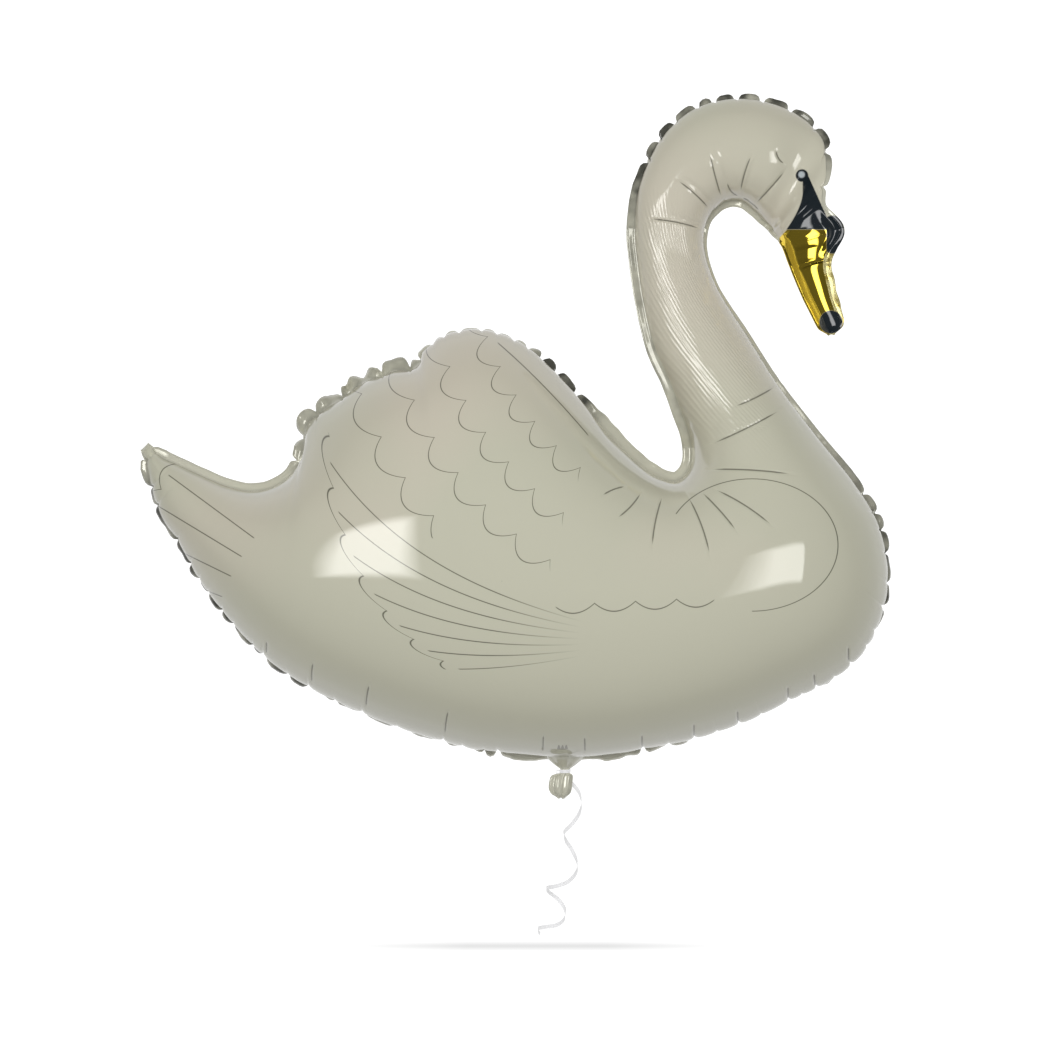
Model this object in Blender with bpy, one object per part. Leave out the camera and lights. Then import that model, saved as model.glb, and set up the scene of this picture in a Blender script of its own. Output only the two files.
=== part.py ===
"""Swan foil balloon, filled: a bag of two printed films welded round their edge, tied with curling ribbon.

Metres, +Z up, +X the way the swan faces, and the weld lies in the XZ plane. The origin is at the tie.
"""
import math

import bpy
import numpy as np

# Driving sizes, in metres
SWAN_LENGTH = 0.753          # tail tip to breast
THICK_LIMIT = 0.170          # half thickness that an endlessly wide bag of this film would reach
WELD_WIDTH = 0.007           # flat border outside the filled edge
BILL_WELD = 0.003            # the same border on the bill
WELD_THICKNESS = 0.0008      # of the gathered border
PINCH_REACH = 0.022          # how far a pinch runs into the film before it fades
NECK_RADIUS = 0.0042         # filling neck where it is tied
MOUTH_WIDTH = 0.042          # filling neck where it leaves the belly
MOUTH_DEPTH = 0.018
BUNCH_WIDTH = 0.0225         # gathered end of the filling neck, below the tie
BUNCH_DEPTH = 0.012
BUNCH_DROP = 0.027           # how far the gathered end hangs below the tie
BUNCH_SWAY = -0.0042         # and how far towards the tail
PLEATS = 5                   # round the filling neck
PLEAT_DEPTH = 0.16           # as a share of the neck's radius
TIE_BAND = 0.0034            # height of the wound ribbon
TIE_THICKNESS = 0.0013
KNOT_RADIUS = 0.0028
RIBBON_WIDTH = 0.005
CLEARANCE = 0.0003           # between pieces that touch

TIP_TURN = 3.0               # how far the weld leans over the tips of tail and bill
EVENING = 0.8                # pairs on each side over which the bag's depth is evened

# How finely the bag is divided
RING_STEP = 0.0105           # between cross sections where the edge puckers
SMOOTH_STEP = 0.024          # and where it is smooth
HALF_SEGMENTS = 9            # across the front film, weld to weld
NECK_SEGMENTS = 20           # round the filling neck

# The filled edge, as pairs of points on the back and the breast side, in shares of the swan's length.
# A cross section of the bag runs between the two points of a pair. One share is a millimetre at full size.
SHARE = SWAN_LENGTH / 753
TAIL_PAIRS = [
    ((-414, 324), (-420, 317)),
    ((-404, 314), (-418, 304)),
    ((-389, 307), (-414, 285)),
    ((-365, 296), (-404, 256)),
    ((-339, 285), (-385, 227)),
    ((-314, 280), (-366, 193)),
    ((-292, 284), (-343, 162)),
    ((-273, 297), (-318, 133)),
]
BODY_PAIRS = [
    ((-262, 321), (-290, 107)),
    ((-256, 350), (-255, 85)),
    ((-230, 369), (-218, 67)),
    ((-203, 388), (-179, 50)),
    ((-174, 400), (-137, 36)),
    ((-150, 404), (-104, 27)),
    ((-139, 420), (-76, 21)),
    ((-118, 435), (-46, 18)),
    ((-83, 440), (1, 15)),
    ((-45, 427), (48, 18)),
    ((-14, 401), (94, 26)),
    ((17, 367), (139, 38)),
    ((47, 332), (182, 53)),
    ((78, 303), (223, 73)),
    ((97, 292), (264, 93)),
]
BREAST_PAIRS = [
    ((111, 290), (298, 122)),
    ((121, 298), (318, 163)),
    ((126, 310), (322, 205)),
    ((126, 324), (312, 250)),
    ((123, 338), (287, 291)),
]
NECK_PAIRS = [
    ((115, 358), (252, 334)),
    ((103, 388), (212, 387)),
    ((87, 421), (181, 437)),
    ((76, 463), (152, 483)),
    ((70, 504), (139, 522)),
    ((67, 541), (142, 550)),
]
HEAD_PAIRS = [
    ((73, 583), (153, 565)),
    ((95, 630), (165, 571)),
    ((131, 661), (178, 570)),
    ((177, 670), (189, 562)),
    ((223, 659), (198, 553)),
    ((255, 634), (206, 544)),
    ((265, 599), (212, 535)),
]
BILL_PAIRS = [
    ((264, 566), (216, 526)),
    ((277, 541), (221, 514)),
    ((265, 514), (230, 496)),
    ((269, 481), (241, 470)),
    ((275, 461), (251, 456)),
    ((275, 450), (258, 450)),
    ((269, 442), (263, 442)),
]
SECTIONS = [TAIL_PAIRS, BODY_PAIRS, BREAST_PAIRS, NECK_PAIRS, HEAD_PAIRS, BILL_PAIRS]
TAIL, BODY, BREAST, NECK, HEAD, BILL = np.cumsum([0] + [len(pairs) for pairs in SECTIONS[:-1]])

# Puckers of the welded edge: side, first and last pair, length of one pucker, depth of the pinch between two
BACK, FRONT = 0, 1
PUCKERS = [
    (BACK, BODY, BODY + 6, 0.029, 0.0075),
    (BACK, BODY + 6, BODY + 9, 0.022, 0.0025),
    (BACK, BODY + 9, BODY + 11, 0.019, 0.0040),
    (BACK, HEAD - 1, BILL - 1, 0.023, 0.0060),
    (FRONT, TAIL + 1, BODY, 0.024, 0.0040),
    (FRONT, BODY, BODY + 8, 0.046, 0.0050),
    (FRONT, BODY + 8, BREAST + 1, 0.034, 0.0050),
    (FRONT, BREAST + 1, BREAST + 4, 0.027, 0.0040),
]

# Where the printed colours of the bill and mask change, in the same shares
BILL_TOP = 541
BILL_TIP = 462
MASK_TOP = 600
MASK_EDGE = 236

# The hanging ribbon's middle line below its knot, from top to end
RIBBON_ROUTE = [
    (0.0008, 0.0095, -0.0080),
    (0.0075, 0.0115, -0.0140),
    (0.0140, 0.0080, -0.0220),
    (0.0165, 0.0010, -0.0320),
    (0.0140, -0.0060, -0.0420),
    (0.0070, -0.0085, -0.0520),
    (-0.0010, -0.0040, -0.0610),
    (0.0010, 0.0060, -0.0700),
    (0.0070, 0.0095, -0.0800),
    (0.0120, 0.0030, -0.0910),
    (0.0115, -0.0060, -0.0995),
    (0.0040, -0.0110, -0.1085),
    (-0.0080, -0.0110, -0.1135),
    (-0.0180, -0.0030, -0.1165),
    (-0.0165, 0.0070, -0.1215),
    (-0.0070, 0.0110, -0.1295),
    (0.0000, 0.0060, -0.1390),
    (-0.0010, -0.0040, -0.1475),
    (-0.0090, -0.0090, -0.1530),
    (-0.0200, -0.0060, -0.1550),
    (-0.0270, 0.0010, -0.1580),
    (-0.0250, 0.0060, -0.1640),
]

# Looks
FILM_GREIGE = (0.53, 0.50, 0.41)
FILM_GOLD = (0.85, 0.60, 0.06)
FILM_BLACK = (0.02, 0.03, 0.035)
RIBBON_WHITE = (0.80, 0.80, 0.79)


def clear_scene():
    for thing in list(bpy.data.objects):
        bpy.data.objects.remove(thing, do_unlink=True)


def finish_material(name, colour, metallic, roughness):
    material = bpy.data.materials.new(name)
    material.use_nodes = True
    shader = material.node_tree.nodes["Principled BSDF"]
    shader.inputs["Base Color"].default_value = (*colour, 1.0)
    shader.inputs["Metallic"].default_value = metallic
    shader.inputs["Roughness"].default_value = roughness
    material.diffuse_color = (*colour, 1.0)
    return material


def solid(name, points, faces, materials):
    mesh = bpy.data.meshes.new(name)
    mesh.from_pydata([tuple(map(float, point)) for point in points], [], faces)
    mesh.validate()
    for material in materials:
        mesh.materials.append(material)
    made = bpy.data.objects.new(name, mesh)
    bpy.context.scene.collection.objects.link(made)
    return made


def smooth_line(points, where):
    """The Catmull-Rom curve through points, at a place counted in points."""
    points = np.asarray(points, float)
    first = min(int(where), len(points) - 2)
    t = where - first
    a, b, c, d = (points[min(max(first + k, 0), len(points) - 1)] for k in (-1, 0, 1, 2))
    return b + 0.5 * t * (c - a + t * (2 * a - 5 * b + 4 * c - d + t * (3 * (b - c) + d - a)))


def unit(vector):
    return vector / np.linalg.norm(vector)


class Edge:
    """One side of the filled edge: its line, its length up to any place, and its puckers."""

    def __init__(self, side, outward):
        self.points = np.array([pair[side] for pairs in SECTIONS for pair in pairs], float) * SHARE
        self.outward = outward
        self.places = np.linspace(0, len(self.points) - 1, 16 * (len(self.points) - 1) + 1)
        line = np.array([smooth_line(self.points, place) for place in self.places])
        steps = np.linalg.norm(np.diff(line, axis=0), axis=1)
        self.lengths = np.concatenate([[0], np.cumsum(steps)])
        self.puckers = [row[1:] for row in PUCKERS if row[0] == side]

    def length_at(self, place):
        return float(np.interp(place, self.places, self.lengths))

    def at(self, place):
        """The edge's point, and the direction straight out of the bag there, which turns round at both tips."""
        last = len(self.points) - 1
        ahead = smooth_line(self.points, min(place + 0.05, last))
        behind = smooth_line(self.points, max(place - 0.05, 0))
        along = unit(ahead - behind)
        out = self.outward * np.array([-along[1], along[0]])
        tip = TIP_TURN * (max(0, place - last + 1) - max(0, 1 - place))
        return smooth_line(self.points, place), unit(out + tip * along)

    def pinch(self, place):
        """How deep the edge is drawn in, 0 at the top of a pucker and full depth between two."""
        for first, last, length, depth in self.puckers:
            if first <= place <= last:
                start, end = self.length_at(first), self.length_at(last)
                count = max(1, round((end - start) / length))
                turn = (self.length_at(place) - start) / (end - start) * count
                return depth * (1 - abs(math.cos(math.pi * turn)) ** 0.7)
        return 0.0

    def gathered(self, place):
        return any(first <= place <= last for first, last, _, _ in self.puckers)


def ring_places(back, front):
    """Where the cross sections stand: close together where either edge puckers."""
    places = []
    for pair in range(len(back.points) - 1):
        span = max(edge.length_at(pair + 1) - edge.length_at(pair) for edge in (back, front))
        puckered = back.gathered(pair + 0.5) or front.gathered(pair + 0.5)
        count = max(1, round(span / (RING_STEP if puckered else SMOOTH_STEP)))
        places += [pair + k / count for k in range(count)]
    return places + [len(back.points) - 1]


def bag_depth(back, front, place):
    """Half the bag's thickness: a round tube where it is narrow, a flatter pillow where it is wide."""
    last = len(back.points) - 1
    near = min(EVENING, place, last - place)
    total = 0
    for where in (place - near, place, place + near):
        width = np.linalg.norm(smooth_line(back.points, where) - smooth_line(front.points, where)) / 2
        total += width * THICK_LIMIT / math.hypot(width, THICK_LIMIT)
    return total / 3


def cross_section(back, front, place):
    """A closed ring of points: the back weld, the near film, the front weld and the far film."""
    edges = [edge.at(place) for edge in (back, front)]
    pinches = [edge.pinch(place) for edge in (back, front)]
    roots = [point - pinch * out for (point, out), pinch in zip(edges, pinches)]
    border = np.interp(place, [BILL - 1, BILL + 1], [WELD_WIDTH, BILL_WELD])
    welds = [root + (border - 0.5 * pinch) * out for root, (_, out), pinch in zip(roots, edges, pinches)]
    middle = (edges[0][0] + edges[1][0]) / 2
    half = (edges[0][0] - edges[1][0]) / 2
    width = np.linalg.norm(half)
    depth = bag_depth(back, front, place)
    bulge = 2 + 0.6 * width / THICK_LIMIT
    weld = WELD_THICKNESS / 2
    film = []
    for k in range(1, HALF_SEGMENTS):
        across = math.cos(math.pi * k / HALF_SEGMENTS)
        side = BACK if across > 0 else FRONT
        pull = pinches[side] * math.exp(-width * (1 - abs(across)) / PINCH_REACH)
        x, z = middle + half * across - pull * edges[side][1]
        film.append((x, z, max(weld, depth * math.sqrt(1 - abs(across) ** bulge) - 0.5 * pull)))
    near = [(x, -y, z) for x, z, y in film]
    far = [(x, y, z) for x, z, y in reversed(film)]
    back_edge = [(roots[0], weld), (welds[0], weld), (welds[0], -weld), (roots[0], -weld)]
    front_edge = [(roots[1], -weld), (welds[1], -weld), (welds[1], weld), (roots[1], weld)]
    return ([(x, y, z) for (x, z), y in back_edge] + near + [(x, y, z) for (x, z), y in front_edge] + far)


def loft(rings):
    """Points and faces of a closed tube through rings of one count, with a face over each end."""
    around = len(rings[0])
    points = [point for ring in rings for point in ring]
    faces = [tuple(range(around))[::-1]]
    for ring in range(len(rings) - 1):
        for k in range(around):
            here, ahead = ring * around + k, ring * around + (k + 1) % around
            faces.append((here, ahead, ahead + around, here + around))
    faces.append(tuple(range((len(rings) - 1) * around, len(rings) * around)))
    return points, faces


def neck_ring(height, width, depth, shift):
    """One level ring of the filling neck, drawn into pleats that never stand outside its oval."""
    ring = []
    for k in range(NECK_SEGMENTS):
        turn = 2 * math.pi * k / NECK_SEGMENTS
        drawn = 1 - PLEAT_DEPTH * (0.5 - 0.5 * math.cos(PLEATS * turn))
        ring.append((shift + width / 2 * drawn * math.cos(turn), depth / 2 * drawn * math.sin(turn), height))
    return ring


def make_filling_neck():
    """The neck runs from inside the belly down through the tie to its gathered end."""
    belly = SHARE * BODY_PAIRS[8][FRONT][1]
    tied = TIE_BAND / 2 + CLEARANCE
    waist = 2 * NECK_RADIUS
    levels = [
        (belly + MOUTH_DEPTH, MOUTH_WIDTH, MOUTH_DEPTH, 0),
        (belly, MOUTH_WIDTH, MOUTH_DEPTH, 0),
        (belly * 0.6, MOUTH_WIDTH * 0.75, MOUTH_DEPTH * 0.85, 0),
        (tied + 0.25 * (belly - tied), waist + 0.3 * (MOUTH_WIDTH - waist), waist + 0.3 * (MOUTH_DEPTH - waist), 0),
        (tied, waist, waist, 0),
        (-tied, waist, waist, 0),
        (-tied - 0.10 * BUNCH_DROP, 0.80 * BUNCH_WIDTH, 0.80 * BUNCH_DEPTH, 0.6 * BUNCH_SWAY),
        (-0.40 * BUNCH_DROP, BUNCH_WIDTH, BUNCH_DEPTH, BUNCH_SWAY),
        (-0.75 * BUNCH_DROP, 0.90 * BUNCH_WIDTH, 0.95 * BUNCH_DEPTH, BUNCH_SWAY),
        (-0.94 * BUNCH_DROP, 0.70 * BUNCH_WIDTH, 0.75 * BUNCH_DEPTH, BUNCH_SWAY),
        (-BUNCH_DROP, 0.35 * BUNCH_WIDTH, 0.35 * BUNCH_DEPTH, BUNCH_SWAY),
    ]
    points, faces = loft([neck_ring(*level) for level in levels])
    return points, [face[::-1] for face in faces]


def join_solid(body, other):
    """Makes body and other one closed solid, and takes other away."""
    union = body.modifiers.new("join", "BOOLEAN")
    union.operation = "UNION"
    union.object = other
    other.hide_render = True
    other.display_type = "WIRE"


def colour_bill(envelope):
    """Gives the faces of the bill and of the mask and knob above it their printed films."""
    gold_top = SHARE * BILL_TOP
    tip = SHARE * BILL_TIP
    lore = SHARE * BILL_PAIRS[0][FRONT][0]
    for face in envelope.data.polygons:
        x, _, z = face.center
        if x < lore or z > SHARE * MASK_TOP or z < SHARE * BILL_PAIRS[-1][BACK][1] - WELD_WIDTH:
            continue
        if tip < z < gold_top:
            face.material_index = 1
        elif z <= tip or x > SHARE * MASK_EDGE:
            face.material_index = 2


def make_envelope(greige, gold, black):
    back, front = Edge(BACK, 1), Edge(FRONT, -1)
    points, faces = loft([cross_section(back, front, place) for place in ring_places(back, front)])
    envelope = solid("foil_envelope", points, faces, [greige, gold, black])
    colour_bill(envelope)
    join_solid(envelope, solid("filling_neck_shape", *make_filling_neck(), [greige]))
    return envelope


def make_tie(white):
    """The ribbon's turns round the neck, with the knot behind."""
    radius = NECK_RADIUS + CLEARANCE + TIE_THICKNESS / 2
    bpy.ops.mesh.primitive_torus_add(
        major_radius=radius, minor_radius=TIE_THICKNESS / 2, major_segments=28, minor_segments=8)
    tie = bpy.context.object
    tie.name = "ribbon_tie"
    for corner in tie.data.vertices:
        corner.co.z *= TIE_BAND / TIE_THICKNESS
    tie.data.materials.append(white)
    bpy.ops.mesh.primitive_uv_sphere_add(
        segments=16, ring_count=10, radius=KNOT_RADIUS, location=(0, knot_place(), 0))
    knot = bpy.context.object
    knot.name = "knot_shape"
    join_solid(tie, knot)
    return tie


def knot_place():
    """How far behind the neck's axis the knot's middle is."""
    return NECK_RADIUS + CLEARANCE + TIE_THICKNESS + 0.7 * KNOT_RADIUS


def make_ribbon(white):
    """The hanging ribbon as a plain tube of its width."""
    start = (0.0, knot_place() + 0.3 * KNOT_RADIUS, -KNOT_RADIUS - CLEARANCE)
    route = [start, *RIBBON_ROUTE]
    count = 3 * (len(route) - 1) + 1
    line = bpy.data.curves.new("ribbon", "CURVE")
    line.dimensions = "3D"
    line.bevel_depth = RIBBON_WIDTH / 2
    line.bevel_resolution = 2
    line.use_fill_caps = True
    spline = line.splines.new("POLY")
    spline.points.add(count - 1)
    for k, point in enumerate(spline.points):
        point.co = (*smooth_line(route, k * (len(route) - 1) / (count - 1)), 1.0)
    ribbon = bpy.data.objects.new("ribbon", line)
    bpy.context.scene.collection.objects.link(ribbon)
    line.materials.append(white)
    return ribbon


def main():
    clear_scene()
    greige = finish_material("foil_greige", FILM_GREIGE, 0.55, 0.18)
    gold = finish_material("foil_gold", FILM_GOLD, 0.9, 0.16)
    black = finish_material("foil_black", FILM_BLACK, 0.4, 0.15)
    white = finish_material("ribbon_white", RIBBON_WHITE, 0.0, 0.35)
    make_envelope(greige, gold, black)
    make_tie(white)
    make_ribbon(white)


main()
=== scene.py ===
import math

import bpy
import numpy as np
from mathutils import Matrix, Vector, kdtree


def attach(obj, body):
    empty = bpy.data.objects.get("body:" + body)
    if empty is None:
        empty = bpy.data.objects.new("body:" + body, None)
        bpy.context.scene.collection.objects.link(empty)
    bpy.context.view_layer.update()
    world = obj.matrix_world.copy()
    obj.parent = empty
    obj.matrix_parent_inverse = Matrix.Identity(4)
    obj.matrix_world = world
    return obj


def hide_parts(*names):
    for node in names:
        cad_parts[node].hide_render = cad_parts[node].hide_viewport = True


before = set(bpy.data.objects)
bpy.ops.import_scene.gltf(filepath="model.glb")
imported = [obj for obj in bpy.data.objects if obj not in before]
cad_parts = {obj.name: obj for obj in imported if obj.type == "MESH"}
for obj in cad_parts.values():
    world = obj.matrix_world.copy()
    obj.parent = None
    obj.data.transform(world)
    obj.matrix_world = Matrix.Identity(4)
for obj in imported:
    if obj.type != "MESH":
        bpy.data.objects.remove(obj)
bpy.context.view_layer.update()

MM = 0.001
PHOTO_SIDE = 1040
TIE_IN_PHOTO = (565, 771)
LENS = 100
SENSOR = 36
CAMERA_REACH = PHOTO_SIDE * MM * LENS / SENSOR


def from_photo(x, y):
    """The place in the plane of the weld, as x and z in metres, that a pixel of the photograph shows."""
    return (x - TIE_IN_PHOTO[0]) * MM, (TIE_IN_PHOTO[1] - y) * MM


middle_x, middle_z = from_photo(PHOTO_SIDE / 2, PHOTO_SIDE / 2)
camera_data = bpy.data.cameras.new("camera")
camera_data.lens = LENS
camera_data.sensor_width = SENSOR
camera = bpy.data.objects.new("camera", camera_data)
camera.location = (middle_x, -CAMERA_REACH, middle_z)
camera.rotation_euler = (math.radians(90), 0, 0)
bpy.context.scene.collection.objects.link(camera)
bpy.context.scene.camera = camera

# Ribbon: flat white curling ribbon 5 mm wide, tied behind the filling neck and scraped with a blade so that it curls.
# It hangs free from the knot to its cut end, and shows its edge where a curl turns and its face between.
RIBBON_SHOWN = 4.2 * MM
RIBBON_THICKNESS = 0.25 * MM
KNOT_AT = (0.0, 0.00776, 0.0)
KNOT_RADIUS = 2.8 * MM
CLEARANCE = 0.3 * MM
RIBBON_ROUTE = [
    (0.0, KNOT_AT[1] + 0.3 * KNOT_RADIUS, -KNOT_RADIUS - CLEARANCE),
    (0.0008, 0.0095, -0.0080),
    (0.0075, 0.0115, -0.0140),
    (0.0140, 0.0080, -0.0220),
    (0.0165, 0.0010, -0.0320),
    (0.0140, -0.0060, -0.0420),
    (0.0070, -0.0085, -0.0520),
    (-0.0010, -0.0040, -0.0610),
    (0.0010, 0.0060, -0.0700),
    (0.0070, 0.0095, -0.0800),
    (0.0120, 0.0030, -0.0910),
    (0.0115, -0.0060, -0.0995),
    (0.0040, -0.0110, -0.1085),
    (-0.0080, -0.0110, -0.1135),
    (-0.0180, -0.0030, -0.1165),
    (-0.0165, 0.0070, -0.1215),
    (-0.0070, 0.0110, -0.1295),
    (0.0000, 0.0060, -0.1390),
    (-0.0010, -0.0040, -0.1475),
    (-0.0090, -0.0090, -0.1530),
    (-0.0200, -0.0060, -0.1550),
    (-0.0270, 0.0010, -0.1580),
    (-0.0250, 0.0060, -0.1640),
]
RIBBON_STEPS = 12
CURL_AXIS = [(0.008, 0.002, 0.0), (0.006, 0.0, -0.08), (-0.012, 0.0, -0.17)]
CURL_AXIS_STEP = 0.085


def through(points, places):
    """The smooth curve through points, read at places counted in points."""
    points = np.asarray(points, float)
    places = np.asarray(places, float)
    last = len(points) - 1
    first = np.clip(places.astype(int), 0, last - 1)
    t = (places - first)[:, None]
    a, b, c, d = (points[np.clip(first + k, 0, last)] for k in (-1, 0, 1, 2))
    return b + 0.5 * t * (c - a + t * (2 * a - 5 * b + 4 * c - d + t * (3 * (b - c) + d - a)))


def unit(vectors):
    return vectors / np.linalg.norm(vectors, axis=-1, keepdims=True)


def mesh_piece(name, points, faces):
    """A new piece from its corners and faces, shaded smooth."""
    mesh = bpy.data.meshes.new(name)
    mesh.from_pydata(np.asarray(points).tolist(), [], faces)
    mesh.update()
    mesh.shade_smooth()
    piece = bpy.data.objects.new(name, mesh)
    bpy.context.scene.collection.objects.link(piece)
    return piece


def tube_faces(rings, around):
    """Quads of a tube of rings, each ring's corners running the same way, and a face over each end."""
    faces = []
    for ring in range(rings - 1):
        for k in range(around):
            here, ahead = ring * around + k, ring * around + (k + 1) % around
            faces.append((here, ahead, ahead + around, here + around))
    faces.append(tuple(range(around))[::-1])
    faces.append(tuple(range((rings - 1) * around, rings * around)))
    return faces


def face_outwards(piece):
    """Turns the faces of a closed piece outwards, and leaves it selected by itself."""
    bpy.ops.object.select_all(action="DESELECT")
    bpy.context.view_layer.objects.active = piece
    piece.select_set(True)
    bpy.ops.object.mode_set(mode="EDIT")
    bpy.ops.mesh.select_all(action="SELECT")
    bpy.ops.mesh.normals_make_consistent(inside=False)
    bpy.ops.object.mode_set(mode="OBJECT")


last_spot = len(RIBBON_ROUTE) - 1
ribbon_line = through(RIBBON_ROUTE, np.linspace(0, last_spot, RIBBON_STEPS * last_spot + 1))
ribbon_ahead = unit(np.gradient(ribbon_line, axis=0))
curl_axis = through(CURL_AXIS, np.minimum(2.0, -ribbon_line[:, 2] / CURL_AXIS_STEP))
outward = ribbon_line - curl_axis
outward[:, 2] = 0
outward = unit(outward - (outward * ribbon_ahead).sum(1, keepdims=True) * ribbon_ahead)
for _ in range(20):
    outward[1:-1] = unit(outward[:-2] + outward[1:-1] + outward[2:])
across = unit(np.cross(ribbon_ahead, outward))
ribbon_rings = []
for point, side, face in zip(ribbon_line, across, np.cross(across, ribbon_ahead)):
    half, thick = side * RIBBON_SHOWN / 2, face * RIBBON_THICKNESS / 2
    ribbon_rings += [point + half + thick, point + thick, point - half + thick,
                     point - half - thick, point - thick, point + half - thick]
ribbon = mesh_piece("curling_ribbon", ribbon_rings, tube_faces(len(ribbon_line), 6))
face_outwards(ribbon)
bpy.ops.object.shade_smooth_by_angle(angle=math.radians(40))


class Value:
    """A shader socket that takes part in Python sums, each of which adds its Math node."""

    def __init__(self, tree, socket):
        self.tree = tree
        self.socket = socket

    def node(self, kind, inputs, **settings):
        """Adds a node of that type, gives it its settings and then its inputs, and returns it."""
        made = self.tree.nodes.new(kind)
        for name, setting in settings.items():
            setattr(made, name, setting)
        for place, given in inputs.items():
            if isinstance(given, Value):
                self.tree.links.new(given.socket, made.inputs[place])
            else:
                made.inputs[place].default_value = given
        return made

    def math(self, operation, *others, clamp=False):
        inputs = {place: other for place, other in enumerate((self, *others))}
        made = self.node("ShaderNodeMath", inputs, operation=operation, use_clamp=clamp)
        return Value(self.tree, made.outputs[0])

    def __add__(self, other):
        return self.math("ADD", other)

    def __sub__(self, other):
        return self.math("SUBTRACT", other)

    def __mul__(self, other):
        return self.math("MULTIPLY", other)

    def __truediv__(self, other):
        return self.math("DIVIDE", other)

    def __neg__(self):
        return self * -1.0

    def __rsub__(self, other):
        return -self + other

    __radd__ = __add__
    __rmul__ = __mul__

    def over(self, edge, soft):
        """1 where this is more than edge and 0 where it is less, with a soft step."""
        return self.math("SUBTRACT", edge).math("MULTIPLY_ADD", 1.0 / soft, 0.5, clamp=True)

    def under(self, edge, soft):
        return 1.0 - self.over(edge, soft)

    def either(self, other):
        return self.math("MAXIMUM", other)

    def size(self):
        return self.math("ABSOLUTE")

    def far(self, other):
        """The length of the slope whose sides are this and other."""
        return (self * self + other * other).math("SQRT")

    def between(self, low, high, soft):
        return self.over(low, soft) * self.under(high, soft)

    def wrapped(self, span):
        """This value less the nearest whole number of spans."""
        return ((self / span + 0.5).math("FRACT") - 0.5) * span

    def hump(self):
        """An arch that is 0 at whole numbers and 1 half way between them."""
        across = self.math("FRACT") * 2.0 - 1.0
        return 1.0 - across * across


def new_finish(name, roughness):
    """A material of this plain roughness, its nodes, its shader and its object coordinates."""
    material = bpy.data.materials.new(name)
    material.use_nodes = True
    tree = material.node_tree
    shader = tree.nodes["Principled BSDF"]
    shader.inputs["Roughness"].default_value = roughness
    coordinates = tree.nodes.new("ShaderNodeTexCoord")
    return material, tree, shader, Value(tree, coordinates.outputs["Object"])


def paint(under, colour, mask):
    """The colour under, with another over it where mask is 1."""
    mixed = mask.node("ShaderNodeMix", {0: mask}, data_type="RGBA")
    for place, given in ((6, under), (7, colour)):
        if isinstance(given, Value):
            mask.tree.links.new(given.socket, mixed.inputs[place])
        else:
            mixed.inputs[place].default_value = (*given, 1.0)
    return Value(mask.tree, mixed.outputs[2])


def grain(where, scale, detail):
    """Noise from 0 to 1, with scale counted per metre."""
    made = where.node("ShaderNodeTexNoise", {"Vector": where, "Scale": scale, "Detail": detail})
    return Value(where.tree, made.outputs[0])


# Such thin satin lets light through, which a small glow of its own stands for.
RIBBON_WHITE = (0.42, 0.42, 0.43)
RIBBON_SHADE = (0.37, 0.37, 0.38)
RIBBON_GLOW = 0.42
material, tree, shader, where = new_finish("curling_ribbon_satin", 0.5)
shader.inputs["Emission Color"].default_value = (1.0, 1.0, 1.0, 1.0)
shader.inputs["Emission Strength"].default_value = RIBBON_GLOW
streaks = grain(where, 200.0, 1.0)
tree.links.new(paint(RIBBON_WHITE, RIBBON_SHADE, streaks * 0.5).socket, shader.inputs["Base Color"])
ribbon.data.materials.append(material)
ribbon_finish = material

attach(ribbon, "root")
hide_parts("ribbon")

# Foil bag: two printed metallised films about 0.05 mm thick, laid face to face, welded along a flat border and filled.
# Where the edge bulges outwards the weld is too long for the filled bag, so it is drawn into puckers.
BAG_PAIRS = [
    ((-417, 328), (-424, 321)),
    ((-404, 314), (-418, 304)),
    ((-389, 307), (-414, 285)),
    ((-365, 296), (-404, 256)),
    ((-339, 285), (-385, 227)),
    ((-314, 280), (-366, 193)),
    ((-292, 284), (-343, 162)),
    ((-273, 297), (-318, 133)),
    ((-262, 321), (-290, 107)),
    ((-256, 350), (-255, 85)),
    ((-230, 369), (-218, 67)),
    ((-203, 388), (-179, 50)),
    ((-174, 400), (-137, 36)),
    ((-150, 404), (-104, 27)),
    ((-139, 420), (-76, 21)),
    ((-118, 435), (-46, 18)),
    ((-83, 440), (1, 15)),
    ((-45, 427), (48, 18)),
    ((-14, 401), (94, 26)),
    ((17, 367), (139, 38)),
    ((47, 332), (182, 53)),
    ((78, 303), (223, 73)),
    ((97, 292), (264, 93)),
    ((111, 290), (298, 122)),
    ((121, 298), (318, 163)),
    ((126, 310), (322, 205)),
    ((126, 324), (312, 250)),
    ((123, 338), (287, 291)),
    ((115, 358), (252, 334)),
    ((103, 388), (212, 387)),
    ((87, 421), (181, 437)),
    ((76, 463), (152, 483)),
    ((70, 504), (139, 522)),
    ((67, 541), (142, 550)),
    ((73, 583), (153, 565)),
    ((95, 630), (165, 571)),
    ((131, 661), (178, 570)),
    ((177, 670), (189, 562)),
    ((223, 659), (198, 553)),
    ((255, 634), (206, 544)),
    ((262, 600), (209, 537)),
    ((259, 567), (213, 531)),
    ((278, 541), (217, 524)),
    ((261, 511), (224, 509)),
    ((265, 482), (237, 478)),
    ((270, 464), (245, 462)),
    ((276, 448), (254, 444.5)),
    ((271, 438.5), (261, 437.5)),
]
LAST = len(BAG_PAIRS) - 1
WELD_THICKNESS = 0.4 * MM
TIP_TURN = 10.0
FILM_SEGMENTS = 42
WELD_SEGMENTS = 3
PLAIN_STEP = 6.5 * MM
CELL_STEP = 3.4 * MM
FINE_STEP = 1.15 * MM
FINE_HALF = 3.4 * MM
PINCH_REACH = 30 * MM
FOLD_REACH = 4 * MM
FOLD_HALF = 2.2 * MM
LIP_AT = 14 * MM
BACK, BREAST = 0, 1

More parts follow.
